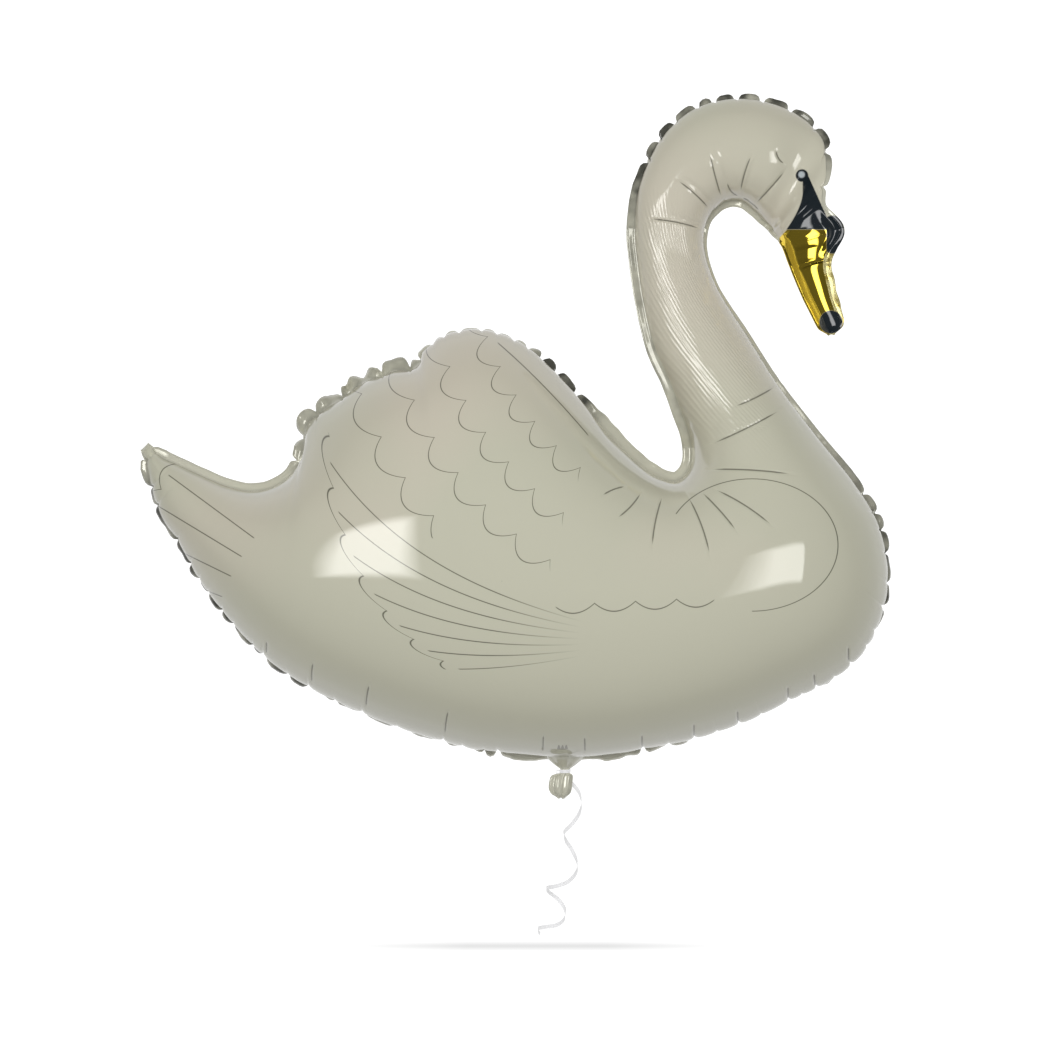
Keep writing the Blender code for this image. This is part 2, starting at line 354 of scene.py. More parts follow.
# What a pinch does to the film: how far the weld is drawn in between two pinches and at the pinch itself, and how far
# from the weld each is felt.
BIG_CELL = (6 * MM, 1.3 * MM, 14 * MM, 24 * MM)
RIM_CELL = (3.0 * MM, 1.6 * MM, 14 * MM, 20 * MM)
TAB = (2.0 * MM, 6.0 * MM, 7 * MM, 8 * MM)
DEEP = (3.2 * MM, 4.5 * MM, 22 * MM, 24 * MM)
LIGHT = (2.0 * MM, 1.8 * MM, 18 * MM, 24 * MM)
PINCHES = [
    (BACK, BIG_CELL, [(316, 412), (343, 397), (383, 375), (410, 366), (421, 360)]),
    (BACK, LIGHT, [(291, 458), (299, 437)]),
    (BACK, RIM_CELL, [(432, 342), (443, 334), (459, 331), (482, 328), (497, 333), (515, 338), (530, 345)]),
    (BACK, TAB, [(542, 358), (558, 371), (576, 394)]),
    (BACK, TAB, [(645, 161), (657, 140), (672, 121), (695, 105), (713, 101), (736, 98), (762, 99), (790, 109),
                 (814, 128), (832, 150)]),
    (BACK, LIGHT, [(829, 187)]),
    (BREAST, LIGHT, [(145, 461), (152, 487), (158, 505), (177, 540), (188, 565), (198, 580), (207, 594), (220, 612),
                     (233, 625), (252, 646), (288, 675), (335, 702), (399, 724), (464, 743), (485, 748),
                     (668, 744), (716, 731), (759, 712), (801, 693), (831, 673), (867, 646), (877, 632),
                     (889, 583), (886, 553), (882, 530), (877, 512), (867, 492)]),
    (BREAST, DEEP, [(266, 653), (312, 683), (366, 707), (446, 734), (499, 746), (643, 748), (694, 737), (738, 723),
                    (788, 699), (815, 686), (848, 661), (885, 608)]),
]

# How the welded border lies along each edge: place, lean to the far side in degrees, width, how far the film bulges
# past the weld on the near and the far side, how crinkled it is and how much shade is painted on it.
BORDERS = [
    [(0, 0, 1.5, 0, 0, 0, 0.1), (0.9, 0, 9, 0, 0, 0.1, 0.1), (2, 0, 8, 0, 0, 0.08, 0), (7, 0, 8, 0, 0, 0.08, 0),
     (8.5, 25, 12, -1, 3, 1.8, 0.3), (13.2, 25, 12, -1, 4, 1.8, 0.3), (13.9, 60, 7, 2, 2, 0.5, 0),
     (17.2, 60, 7, 2, 1, 0.4, 0.1), (17.6, 12, 8, 2, 1, 0.5, 1), (19.0, 12, 8, 2, 1, 0.4, 1),
     (19.6, 5, 11, 0, 0, 0.25, 0.1), (24, 0, 9, 0, 0, 0.05, 0), (26, 0, 9, 0, 0, 0.05, 0.3),
     (33, 0, 9, 0, 0, 0.05, 0.45), (34, 12, 7, 3, 2, 0.4, 1), (39.2, 12, 7, 3, 2, 0.4, 0.9),
     (40.3, 5, 4, 0, 0, 0.3, 0.1), (42, 10, 4, 0, 0, 0.15, 0), (43, 15, 8, 0, 0, 0.35, 0), (45, 15, 7, 0, 0, 0.2, 0),
     (46, 5, 4, 0, 0, 0, 0), (47, 0, 3, 0, 0, 0, 0)],
    [(0, 0, 1.5, 0, 0, 0, 0.1), (0.9, 10, 8, 0, 0, 0.3, 0.2), (2, 50, 6, 0, 1, 0.7, 0.9), (8, 62, 7, 1, 1, 0.7, 1),
     (9.5, 66, 7, 2, 0, 0.7, 0.5), (13.4, 66, 7, 2, 0, 0.7, 0.3), (14.1, 36, 8, 1, 0, 0.7, 0.1),
     (15.2, 34, 8.5, 1, 0, 0.5, 0), (15.6, 45, 6, 1, 0, 0.3, 0), (16.5, 45, 6, 1, 0, 0.3, 0),
     (16.8, 34, 8.5, 1, 0, 0.5, 0), (18.0, 36, 8, 1, 0, 0.7, 0.1), (18.7, 72, 8, 3, 0, 0.6, 0.2),
     (22.5, 72, 8, 3, 0, 0.6, 0.3), (23.5, 55, 5, 1, 1, 0.8, 0.5), (25, 45, 5, 0, 1, 0.6, 0.9),
     (26.2, 10, 7, 0, 0, 0.1, 0.6), (29, 0, 7, 0, 0, 0.06, 0.1), (36, 0, 7, 0, 0, 0.06, 0.0),
     (39.5, 0, 5, 0, 0, 0.2, 0.1), (41, 0, 3, 0, 0, 0.2, 0), (46, 0, 3, 0, 0, 0, 0), (47, 0, 3, 0, 0, 0, 0)],
]

# Sharp folds across the film where the bag bends: where each starts and ends in the photograph, and its depth.
FOLDS = [
    ((709, 149), (723, 202), 1.5 * MM),
    ((674, 178), (712, 212), 1.5 * MM),
    ((646, 219), (705, 230), 1.3 * MM),
    ((752, 156), (739, 196), 1.3 * MM),
    ((786, 168), (752, 206), 1.2 * MM),
    ((704, 447), (786, 406), 1.6 * MM),
    ((731, 407), (778, 384), 1.2 * MM),
    ((801, 268), (826, 261), 0.9 * MM),
]

# The neck and the head are turned a little, ring by ring, so that the weld along the back of the neck and the top of
# the bill faces the camera. The neck is a little flatter than a round tube and leans a few millimetres to the camera,
# and the bill bends that way too: where its bend starts and is full, and how much nearer than there the ridge of its
# near side lies at each height over the tie, in millimetres.
TURNS_AT = [(26, 0), (28, 8), (29.5, 15), (31, 21), (33, 20), (34.5, 12), (36, 7), (38, 10), (41, 31), (47, 31)]
FLATTER_AT = [(28, 1), (30, 0.94), (32, 0.88), (34, 0.92), (36, 1)]
LEANS_AT = [(26.5, 0), (28, -3), (29, -8), (30, -11), (31, -13), (33, -15), (47, -15)]
LEAN_EVENED = 26 * MM
FACE_EVENED = 9 * MM
BILL_BEND = (38.2, 40.0)
BILL_RIDGE = 0.36
BILL_START = 40.5
BILL_FACE_AT = [(439, -6.5), (505, -3.3), (545, -4.5), (600, -4), (617, 0)]

# The near film of the bill is creased along its length. Between the top weld and the crease it is one flat arc, and
# from the crease to the throat a rounder one; the knob on the forehead is a small arc of its own beside the weld. Given
# are the share of the way across of the crease and of the knob, and how each arc leans where it starts and ends, in
# degrees.
BILL_CREASE_AT = [(39, 0.85), (42, 0.85), (43, 0.75), (44, 0.64), (45, 0.63), (47, 0.63)]
KNOB_AT = [(40.9, 0.0), (41.5, 0.15), (42, 0.24), (42.5, 0.17), (42.9, 0.0)]
KNOB_ARC = (50, -50)
TOP_ARC_AT = [(39, 28, -12), (43, 28, -12), (44, 32, -10), (47, 32, -10)]
THROAT_ARC = (4, -6)
BILL_BLEND = (37.5, 40.8)


def edge_out(side, where):
    """The direction straight out of the bag along an edge, which turns round at the tips of tail and bill."""
    ahead, behind = np.minimum(where + 0.05, LAST), np.maximum(where - 0.05, 0)
    along = unit(through(EDGES[side], ahead) - through(EDGES[side], behind))
    turn = 1 if side == BACK else -1
    out = turn * np.stack([-along[:, 1], along[:, 0]], axis=1)
    tip = TIP_TURN * (np.maximum(0, where - LAST + 1) - np.maximum(0, 1 - where))
    return unit(out + tip[:, None] * along)


def lengths(line):
    return np.concatenate([[0], np.cumsum(np.linalg.norm(np.diff(line, axis=0), axis=1))])


EDGES = [np.array([pair[side] for pair in BAG_PAIRS], float) * MM for side in (BACK, BREAST)]
probe = np.linspace(0, LAST, 60 * LAST + 1)
edge_line = [through(edge, probe) for edge in EDGES]
edge_length = [lengths(line) for line in edge_line]
pinch_rows = [[], []]
for side, effect, spots in PINCHES:
    for spot in spots:
        nearest = np.linalg.norm(edge_line[side] - from_photo(*spot), axis=1).argmin()
        pinch_rows[side].append((edge_length[side][nearest], *effect))
pinch_rows = [np.array(sorted(rows)) for rows in pinch_rows]

# The cross sections stand close together at pinches and folds, and further apart between them.
crowd = np.full(len(probe), 1 / PLAIN_STEP)
for reach, step in ((PINCH_REACH, CELL_STEP), (FINE_HALF, FINE_STEP)):
    for side in (BACK, BREAST):
        gaps = np.abs(edge_length[side][:, None] - pinch_rows[side][None, :, 0])
        crowd[gaps.min(axis=1) < reach] = 1 / step
chord = edge_line[BACK] - edge_line[BREAST]
for start, end, deep in FOLDS:
    start, end = (np.array(from_photo(*spot)) for spot in (start, end))
    from_breast = (start + end) / 2 - edge_line[BREAST]
    share = (from_breast * chord).sum(1) / (chord * chord).sum(1)
    off = np.linalg.norm(from_breast - np.clip(share, 0, 1)[:, None] * chord, axis=1)
    crowd[off < FOLD_REACH] = 1 / FINE_STEP
crowd[probe > BILL_START] = 1 / FINE_STEP
pace = np.maximum(*[np.gradient(length) for length in edge_length])
count_at = np.concatenate([[0], np.cumsum((crowd * pace)[1:])])
places = np.interp(np.linspace(0, count_at[-1], int(count_at[-1])), count_at, probe)
RINGS = len(places)
edge_at = [through(edge, places) for edge in EDGES]
out_at = [edge_out(side, places) for side in (BACK, BREAST)]
along_at = [np.interp(places, probe, length) for length in edge_length]


def at_places(table):
    """Each further column of a table, read at every cross section by the places in its first column."""
    rows = np.array(table, float)
    return [np.interp(places, rows[:, 0], column) for column in rows.T[1:]]


def eased(low, high):
    """Each cross section's share of the way from one place to another, with soft ends."""
    share = np.clip((places - low) / (high - low), 0, 1)
    return share * share * (3 - 2 * share)


border_at = []
for side in (BACK, BREAST):
    lean, width, near_lip, far_lip, crinkled, painted_shade = at_places(BORDERS[side])
    border_at.append((np.radians(lean), width * MM, {-1: near_lip * MM, 1: far_lip * MM}, crinkled * MM, painted_shade))


# Heights of the film over the plane of the weld: those of a skin blown up inside this outline, from its pressure
# equation solved on a square grid. A narrow part comes out as a round tube and the wide body as a flatter pillow.
GRID_STEP = 5.0
FLAT_LIMIT = 26000.0
EDGE_REACH = 14.0
SHORTEST_ARM = 0.08
SWEEPS = 500
OVER_RELAXED = 1.93
NEIGHBOURS = ((0, -1), (0, 1), (1, -1), (1, 1))
outline = np.concatenate([edge_line[BACK][::3], edge_line[BREAST][::-3]]) / MM
grid_x = np.arange(outline[:, 0].min() - 3 * GRID_STEP, outline[:, 0].max() + 3 * GRID_STEP, GRID_STEP)
grid_z = np.arange(outline[:, 1].min() - 3 * GRID_STEP, outline[:, 1].max() + 3 * GRID_STEP, GRID_STEP)
nodes = np.stack(np.meshgrid(grid_x, grid_z, indexing="ij"), axis=-1)


def distance_to_outline(spots):
    """Distance from each spot to the outline, in millimetres."""
    starts, ends = outline, np.roll(outline, -1, axis=0)
    run = ends - starts
    size = np.maximum((run * run).sum(1), 1e-9)
    flat = spots.reshape(-1, 2)
    found = []
    for part in np.array_split(flat, max(1, len(flat) // 2000)):
        away = part[:, None, :] - starts[None]
        share = np.clip((away * run).sum(2) / size, 0, 1)
        away = away - share[..., None] * run
        found.append(np.sqrt((away * away).sum(2).min(axis=1)))
    return np.concatenate(found).reshape(spots.shape[:-1])


crossings = np.zeros(nodes.shape[:2], int)
for start, end in zip(outline, np.roll(outline, -1, axis=0)):
    if start[1] == end[1]:
        continue
    between = (nodes[..., 1] > min(start[1], end[1])) & (nodes[..., 1] <= max(start[1], end[1]))
    at = start[0] + (nodes[..., 1] - start[1]) * (end[0] - start[0]) / (end[1] - start[1])
    crossings += between & (nodes[..., 0] < at)
inside = crossings % 2 == 1
node_distance = distance_to_outline(nodes)


def shifted(field, axis, step):
    return np.roll(field, -step, axis=axis)


arms, known = [], []
for axis, step in NEIGHBOURS:
    next_inside = shifted(inside, axis, step)
    next_distance = shifted(node_distance, axis, step)
    cut = node_distance / np.maximum(node_distance + next_distance, 1e-9)
    arms.append(np.where(next_inside, 1.0, np.clip(cut, SHORTEST_ARM, 1.0)))
    known.append(next_inside)
weights = []
for k, opposite in ((0, 1), (1, 0), (2, 3), (3, 2)):
    weights.append(2 / (arms[k] * (arms[k] + arms[opposite])))
total_weight = sum(weights)
checker = np.add.outer(np.arange(len(grid_x)), np.arange(len(grid_z))) % 2
swell = np.zeros(inside.shape)
for _ in range(SWEEPS):
    for colour in (0, 1):
        turn_now = inside & (checker == colour)
        pulled = sum(weight * seen * shifted(swell, *way) for weight, seen, way in zip(weights, known, NEIGHBOURS))
        fresh = (pulled + GRID_STEP ** 2) / total_weight
        swell = np.where(turn_now, swell + OVER_RELAXED * (fresh - swell), swell)


def near_edge(distance):
    return EDGE_REACH * np.tanh(np.maximum(distance, 1e-6) / EDGE_REACH)


ratio = np.where(inside, swell / near_edge(node_distance), 0)
filled = inside & (node_distance > 0.3)
for _ in range(4):
    count = sum(shifted(filled, *way) for way in NEIGHBOURS)
    around = sum(shifted(ratio * filled, *way) for way in NEIGHBOURS)
    grown = (count > 0) & ~filled
    ratio = np.where(grown, around / np.maximum(count, 1), ratio)
    filled = filled | grown


def swollen_height(spots):
    """Half the bag's thickness at each spot (x, z), in metres."""
    spots = spots / MM
    column = (spots[..., 0] - grid_x[0]) / GRID_STEP
    row = (spots[..., 1] - grid_z[0]) / GRID_STEP
    i, j = column.astype(int), row.astype(int)
    u, v = column - i, row - j
    level = (ratio[i, j] * (1 - u) * (1 - v) + ratio[i + 1, j] * u * (1 - v)
             + ratio[i, j + 1] * (1 - u) * v + ratio[i + 1, j + 1] * u * v)
    level = level * near_edge(distance_to_outline(spots))
    return np.sqrt(2 * level / (1 + level / FLAT_LIMIT)) * MM


def facets(a, b, size, seed):
    """Crumpled film: from -1 to 1, flat facets of about this size that meet in sharp folds."""
    rng = np.random.default_rng(seed)
    total = 0
    for k in range(5):
        angle = rng.uniform(0, np.pi)
        scale = size * rng.uniform(0.7, 1.6)
        phase = (a * np.cos(angle) + b * np.sin(angle)) / scale + rng.uniform(0, 1)
        total = total + np.abs(2 * (phase % 1) - 1) - 0.5
    return total / 1.6


def pinch_pull(side, away):
    """How far the pinches draw the film in, for each cross section, at each distance from the weld."""
    rows = pinch_rows[side]
    along = along_at[side]
    nearest = np.abs(along[:, None] - rows[None, :, 0]).argmin(axis=1)
    arch, groove, arch_reach, groove_reach = rows[nearest, 1:].T[:, :, None]
    off = along - rows[nearest, 0]
    gap = np.diff(rows[:, 0], prepend=-1, append=9)
    span = np.where(off < 0, gap[nearest], gap[nearest + 1])
    span = np.where(span < 70 * MM, span / 2, 18 * MM)
    share = np.clip(np.abs(off) / span, 0, 1)[:, None]
    drawn = arch * (1 - (share * (2 - share)) ** 0.55) * np.exp(-(away / arch_reach) ** 1.5)
    narrow = 1.8 * MM * (1 - 0.5 * np.clip(away / groove_reach, 0, 1))
    return drawn + groove * np.exp(-(np.abs(off)[:, None] / narrow) ** 1.3 - (away / groove_reach) ** 1.5)


middle = (edge_at[BACK] + edge_at[BREAST]) / 2
half = (edge_at[BACK] - edge_at[BREAST]) / 2
half_width = np.linalg.norm(half, axis=1)
over = np.cos(np.pi * np.arange(FILM_SEGMENTS + 1) / FILM_SEGMENTS)
across_share = (1 - over) / 2
plane = middle[:, None, :] + half[:, None, :] * over[None, :, None]
height = swollen_height(plane)
height[:, 0] = height[:, -1] = 0
walk = (along_at[BACK] + along_at[BREAST]) / 2


def evened(values, reach):
    """Values at the cross sections, averaged over about this reach along the bag."""
    weights = np.exp(-((walk[:, None] - walk[None, :]) / reach) ** 2) * np.gradient(walk)[None, :]
    return ((weights @ values).T / weights.sum(axis=1)).T


evening = np.clip(0.4 * half_width, 1.5 * MM, 16 * MM)
height = evened(height, evening[:, None]) * at_places(FLATTER_AT)[0][:, None]


def in_space(flat, y):
    return np.stack([flat[..., 0], np.broadcast_to(y, flat[..., 0].shape), flat[..., 1]], axis=-1)


def arc(share, start, end):
    """The height of an arc of width 1 at each share of the way across, from its lean at either end in degrees."""
    start, end = np.radians(start), np.radians(end)
    radius = 1 / (np.sin(start) - np.sin(end))
    lean = np.sin(start) - share / radius
    return radius * (np.sqrt(np.maximum(1 - lean * lean, 0)) - np.cos(start))


crease, knob = (at_places(table)[0][:, None] for table in (BILL_CREASE_AT, KNOB_AT))
top_start, top_end = (lean[:, None] for lean in at_places(TOP_ARC_AT))
wide = 2 * half_width[:, None]
at_crease = arc(1.0, top_start, top_end) * (crease - knob) * wide
beyond = np.clip((across_share - crease) / (1 - crease), 0, 1)
throat_arc = arc(beyond, *THROAT_ARC) - beyond * arc(1.0, *THROAT_ARC)
throat = at_crease * (1 - beyond) + throat_arc * (1 - crease) * wide
top = arc(np.clip((across_share - knob) / (crease - knob), 0, 1), top_start, top_end) * (crease - knob) * wide
lobe = arc(np.clip(across_share / np.maximum(knob, 0.01), 0, 1), *KNOB_ARC) * knob * wide
bill_height = np.where(across_share < knob, lobe, np.where(across_share < crease, top, throat))
blend = eased(*BILL_BLEND)[:, None]
near_height = height * (1 - blend) + evened(bill_height, FACE_EVENED) * blend


def make_film(side_of_bag):
    """One film from weld to weld, drawn in by its pinches and folds: near the camera (-1) or away from it (1)."""
    film = in_space(plane, -near_height if side_of_bag < 0 else height)
    normals = np.cross(np.gradient(film, axis=0), np.gradient(film, axis=1)) * side_of_bag
    normals = normals / np.maximum(np.linalg.norm(normals, axis=2, keepdims=True), 1e-12)
    if (normals[RINGS // 2, FILM_SEGMENTS // 2, 1] * side_of_bag) < 0:
        normals = -normals
    normals[:, 0] = in_space(out_at[BACK], 0)
    normals[:, -1] = in_space(out_at[BREAST], 0)
    step = np.linalg.norm(np.diff(film, axis=1), axis=2)
    from_back = np.concatenate([np.zeros((RINGS, 1)), np.cumsum(step, axis=1)], axis=1)
    away = [from_back, from_back[:, -1:] - from_back]
    moved = np.zeros_like(film)
    for side in (BACK, BREAST):
        lean, width, lip, crinkled, painted_shade = border_at[side]
        rise = away[side] / LIP_AT * np.exp(1 - away[side] / LIP_AT)
        moved += (lip[side_of_bag][:, None] * rise)[..., None] * in_space(out_at[side], 0)[:, None, :]
        moved -= pinch_pull(side, away[side])[..., None] * normals
        rough = facets(along_at[side][:, None] + 0 * away[side], away[side], 13 * MM, 5 + side + side_of_bag)
        fade = np.clip(away[side] / (3 * MM), 0, 1) * np.exp(-(away[side] / (11 * MM)) ** 2)
        moved += (crinkled[:, None] * (1 - blend) * 0.7 * rough * fade)[..., None] * normals
    for start, end, deep in FOLDS:
        start, end = (np.array(from_photo(*spot)) for spot in (start, end))
        run = end - start
        share = ((film[..., (0, 2)] - start) @ run) / (run @ run)
        off = np.linalg.norm(film[..., (0, 2)] - start - np.clip(share, 0, 1)[..., None] * run, axis=2)
        along = np.clip(share, 0, 1)
        moved -= (deep * (4 * along * (1 - along)) ** 0.4 * np.exp(-(off / FOLD_HALF) ** 1.2))[..., None] * normals
    return film + moved, from_back


near_film, across_near = make_film(-1)
far_film, across_far = make_film(1)
ring_parts, film_rows, painted_shade_rows = [], [], []


def keep(points, along, across, weld, painted_shade):
    """Adds columns of points, each with its place on the film: along, across, share of weld and the shade painted on
    the weld.
    """
    ring_parts.append(points)
    film_rows.append(np.stack([np.broadcast_to(value, points.shape[:2]) for value in (along, across, weld)], axis=-1))
    painted_shade_rows.append(np.broadcast_to(painted_shade, points.shape[:2]))


def add_border(side):
    """The flat welded border of one edge, cut into tabs by the pinches, leaning and crinkled."""
    lean, width, lip, crinkled, painted_shade = border_at[side]
    root = near_film[:, 0] if side == BACK else near_film[:, -1]
    out = in_space(out_at[side], 0)
    rows = pinch_rows[side]
    nearest = np.abs(along_at[side][:, None] - rows[None, :, 0]).argmin(axis=1)
    off = np.abs(along_at[side] - rows[nearest, 0])
    cut = rows[nearest, 2] / (4 * MM)
    tab = 1 - np.clip(cut, 0, 1) * 0.85 * np.exp(-(off / (2.6 * MM)) ** 1.6)
    tab = tab * (1 + 0.12 * np.minimum(crinkled / (0.4 * MM), 1) * facets(along_at[side], 0, 17 * MM, 30 + side))
    wave = 0.5 * facets(along_at[side], 0.3, 23 * MM, 40 + side) * crinkled / (0.8 * MM)
    share = np.linspace(0, 1, WELD_SEGMENTS + 1)
    angle = (lean + wave)[:, None] * (0.55 + 0.6 * share[None, :])
    step = (width * tab)[:, None] / WELD_SEGMENTS
    outward = np.cumsum(np.cos(angle) * step, axis=1) - np.cos(angle[:, :1]) * step
    backward = np.cumsum(np.sin(angle) * step, axis=1) - np.sin(angle[:, :1]) * step
    small = facets(along_at[side][:, None] + 0 * angle, share[None, :] * width[:, None], 7 * MM, 50 + side)
    backward = backward + small * 0.5 * crinkled[:, None] * share
    strip = root[:, None, :] + outward[..., None] * out[:, None, :] + backward[..., None] * (0, 1, 0)
    thick = np.stack([-np.sin(angle), np.cos(angle)], axis=-1) * WELD_THICKNESS / 2
    offset = thick[..., :1] * out[:, None, :] + thick[..., 1:] * (0, 1, 0)
    sign = -1 if side == BACK else 1
    total = 0 * across_near[:, :1] if side == BACK else across_near[:, -1:]
    across = share[None, :] * width[:, None]
    along = along_at[side][:, None]
    if side == BACK:
        keep(strip + offset, along, across, 1, painted_shade[:, None])
        keep((strip - offset)[:, ::-1], along, -across[:, ::-1], 1, painted_shade[:, None])
    else:
        keep(strip - offset, along, total + across, 1, painted_shade[:, None])
        keep((strip + offset)[:, ::-1], along, -total - across[:, ::-1], 1, painted_shade[:, None])


def weld_share(across):
    """The film is crinkled within a few millimetres of a weld, and there takes the border's colour with its painted
    shade.
    """
    nearest = np.minimum(across, across[:, -1:] - across)
    return np.exp(-(nearest / (1.6 * MM)) ** 2)


run_back, run_breast = (along_at[side][:, None] for side in (BACK, BREAST))
along_film = run_back * (1 - across_share) + run_breast * across_share
painted_shade_film = border_at[BACK][4][:, None] * (1 - across_share) + border_at[BREAST][4][:, None] * across_share
inner, inner_back = (slice(None), slice(1, -1)), (slice(None), slice(-2, 0, -1))
add_border(BACK)
keep(near_film[inner], along_film[inner], across_near[inner], weld_share(across_near)[inner], painted_shade_film[inner])
add_border(BREAST)
keep(far_film[inner_back], along_film[inner_back], -across_far[inner_back], weld_share(across_far)[inner_back],
     painted_shade_film[inner_back])
points = np.concatenate(ring_parts, axis=1)

# Each cross section turns about its own middle. What comes nearer is made smaller, to look as large as before.
turned = np.radians(at_places(TURNS_AT)[0])
chord_way = in_space(unit(half), 0)
offset = points - in_space(middle, 0)[:, None, :]
across_chord = (offset * chord_way[:, None, :]).sum(2)
deep = offset[..., 1]
swung = across_chord * np.cos(turned)[:, None] + deep * np.sin(turned)[:, None]
swung_deep = -across_chord * np.sin(turned)[:, None] + deep * np.cos(turned)[:, None]
points = points + (swung - across_chord)[..., None] * chord_way[:, None, :]
lean = evened(at_places(LEANS_AT)[0] * MM, LEAN_EVENED)
swung_deep = swung_deep + lean[:, None]
ridge_share = (knob + (crease - knob) * BILL_RIDGE)[:, 0]
near_columns = slice(2 * (WELD_SEGMENTS + 1), 2 * (WELD_SEGMENTS + 1) + FILM_SEGMENTS - 1)


def on_ridge(values):
    """What each cross section has on the ridge of the bill's near side."""
    return np.array([np.interp(share, across_share[1:-1], ring[near_columns])
                     for share, ring in zip(ridge_share, values)])


ridge = on_ridge(swung_deep)
face = evened(np.interp(on_ridge(points[..., 2]), *(np.array(BILL_FACE_AT, float).T * MM)), FACE_EVENED)
straight = np.interp(BILL_BEND[0], places, ridge) + face
bent = (straight - ridge) * eased(*BILL_BEND)
points[..., 1] = swung_deep + bent[:, None]
nearer = 1 + (lean + bent)[:, None] / CAMERA_REACH
for axis, middle_of_view in ((0, middle_x), (2, middle_z)):
    points[..., axis] = middle_of_view + (points[..., axis] - middle_of_view) * nearer
envelope = mesh_piece("foil_bag", points.reshape(-1, 3), tube_faces(RINGS, points.shape[1]))


def lay_film(piece, film, painted_shade):
    """Gives a piece its attributes: its place on the film, the shade painted on the weld, and its place on the printed
    picture.
    """
    corners = np.empty(len(piece.data.vertices) * 3)
    piece.data.vertices.foreach_get("co", corners)
    x, y, z = corners.reshape(-1, 3).T
    nearer = 1 - np.abs(y) / CAMERA_REACH
    picture = np.stack([PHOTO_SIDE / 2 + (x - middle_x) / MM / nearer, PHOTO_SIDE / 2 - (z - middle_z) / MM / nearer,
                        0 * x + 1], axis=1)
    for name, values in (("film", film), ("picture", picture)):
        layer = piece.data.attributes.new(name, "FLOAT_VECTOR", "POINT")
        layer.data.foreach_set("vector", np.asarray(values, float).reshape(-1))
    layer = piece.data.attributes.new("painted_shade", "FLOAT", "POINT")
    layer.data.foreach_set("value", np.asarray(painted_shade, float).reshape(-1))


lay_film(envelope, np.concatenate(film_rows, axis=1), np.concatenate(painted_shade_rows, axis=1))

# Filling neck: the narrow tongue of both films at the bottom, through which the bag is filled, drawn together by the
# tie into a pleated waist below a short funnel. The films flare again under the tie. Rows give height, half width,
# half depth, middle and depth of the pleats, in millimetres.
NECK_ROWS = [
    (36, 15, 22, 0, 0.0),
    (26, 20, 25, 0, 0.0),
    (20, 21.5, 24, 0, 0.01),
    (14, 19, 18, 0, 0.04),
    (8, 12.5, 10, 0, 0.08),
    (4, 7.2, 5.6, 0, 0.10),
    (1.6, 4.4, 4.0, 0, 0.07),
    (-1.6, 4.4, 4.0, -0.2, 0.07),
    (-3.2, 8.0, 4.6, -2.0, 0.16),
    (-5.5, 10.3, 5.2, -3.6, 0.20),
    (-12, 10.9, 6.0, -4.8, 0.20),
    (-18, 10.6, 6.2, -5.2, 0.22),
    (-23, 8.4, 5.4, -4.8, 0.26),
    (-26.5, 4.2, 3.2, -3.6, 0.30),
]
NECK_RINGS = 60
NECK_AROUND = 88
NECK_PLEATS = ((7, 0.1, 1.0), (11, 0.45, 0.55), (17, 0.2, 0.3))
# How much of the border's painted shade the funnel carries.
NECK_PAINTED_SHADE = 0.1
NECK_TOP = 40 * MM
SAME_SPOT = 0.01 * MM
rows = np.array(NECK_ROWS, float)
levels = through(rows, np.linspace(0, len(rows) - 1, NECK_RINGS))
angle = 2 * np.pi * np.arange(NECK_AROUND) / NECK_AROUND
drop, wide, thick, sway, pleat = (column[:, None] for column in levels.T)
fold = 0
for count, phase, amount in NECK_PLEATS:
    fold = fold + amount * (2 * np.abs(2 * ((count * angle[None, :] / (2 * np.pi) + phase) % 1) - 1) - 1)
shape = 1 + pleat * 0.6 * fold
neck_points = np.stack([sway + wide * shape * np.cos(angle), -thick * shape * np.sin(angle), drop + 0 * shape],
                       axis=-1)
neck_points[-6:, :, 2] += 0.9 * (fold * pleat)[-6:] * np.linspace(0, 4, 6)[:, None]
neck_points = neck_points.reshape(-1, 3) * MM
neck_weld = (np.clip((21 - drop) / 8, 0, 0.8) + 0 * shape).reshape(-1)
neck_film = np.stack([neck_points[:, 2], neck_points[:, 0], neck_weld], axis=1)
neck = mesh_piece("filling_neck", neck_points, tube_faces(NECK_RINGS, NECK_AROUND))


def join(body, piece):
    """Makes a piece and the body that it stands in one closed body."""
    bpy.context.view_layer.objects.active = body
    union = body.modifiers.new("join", "BOOLEAN")
    union.operation = "UNION"
    union.solver = "EXACT"
    union.object = piece
    bpy.ops.object.modifier_apply(modifier=union.name)
    bpy.data.objects.remove(piece)


for piece in (neck, envelope):
    face_outwards(piece)
join(envelope, neck)

# The union loses the neck's own values, so its points are found by their place and given them.
neck_spots = kdtree.KDTree(len(neck_points))
for index, spot in enumerate(neck_points):
    neck_spots.insert(spot, index)
neck_spots.balance()
attributes = envelope.data.attributes
joined_film, joined_painted_shade = np.empty(len(envelope.data.vertices) * 3), np.empty(len(envelope.data.vertices))
attributes["film"].data.foreach_get("vector", joined_film)
attributes["painted_shade"].data.foreach_get("value", joined_painted_shade)
joined_film = joined_film.reshape(-1, 3)
for vertex in envelope.data.vertices:
    if vertex.co.z < NECK_TOP:
        _, index, gap = neck_spots.find(vertex.co)
        if gap < SAME_SPOT:
            joined_film[vertex.index] = neck_film[index]
            joined_painted_shade[vertex.index] = NECK_PAINTED_SHADE
for name in ("film", "painted_shade", "picture"):
    attributes.remove(attributes[name])
lay_film(envelope, joined_film, joined_painted_shade)
envelope.data.shade_smooth()

